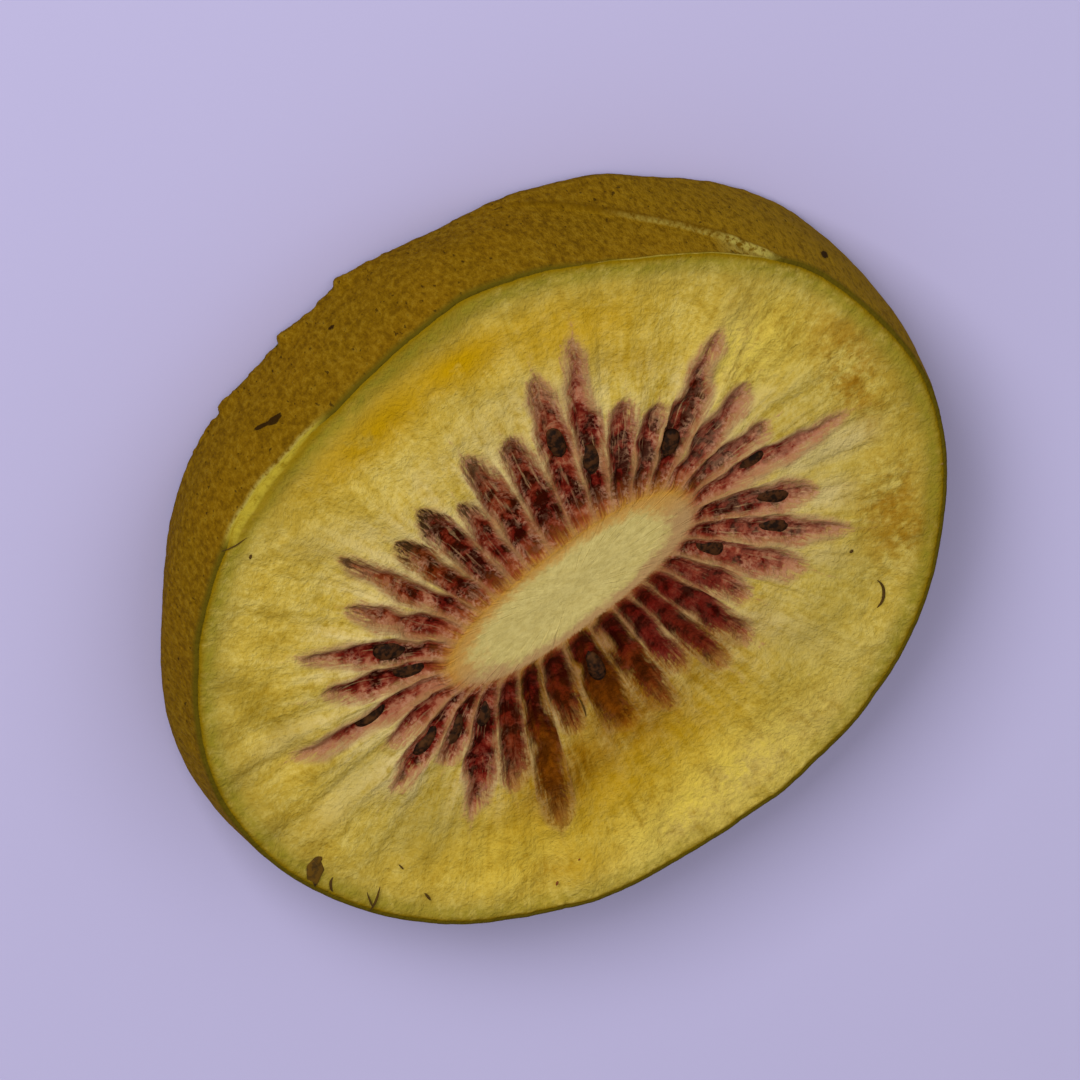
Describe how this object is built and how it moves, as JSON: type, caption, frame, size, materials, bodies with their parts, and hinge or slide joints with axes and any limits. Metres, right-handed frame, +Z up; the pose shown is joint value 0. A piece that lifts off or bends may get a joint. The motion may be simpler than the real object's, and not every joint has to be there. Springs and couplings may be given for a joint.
{
  "type": "freeze-dried kiwi slice",
  "caption": "Thick oval slice of dried yellow fruit with a red heart, lying flat: brown skin round the side, a pale core, dark seeds in radiating chambers.",
  "frame": {"origin": "bottom centre of the bounding box, on the surface that the slice lies on", "axes": "+X along the longer axis of the cut face, +Z up, out of the upper cut face"},
  "size_m": [0.0554, 0.0482, 0.0104],
  "materials": {
    "dried_fruit": "matt, dry and finely porous yellow flesh, with brown skin round the side"
  },
  "bodies": {
    "root": {"kiwi_slice": "dried_fruit"}
  },
  "joints": []
}
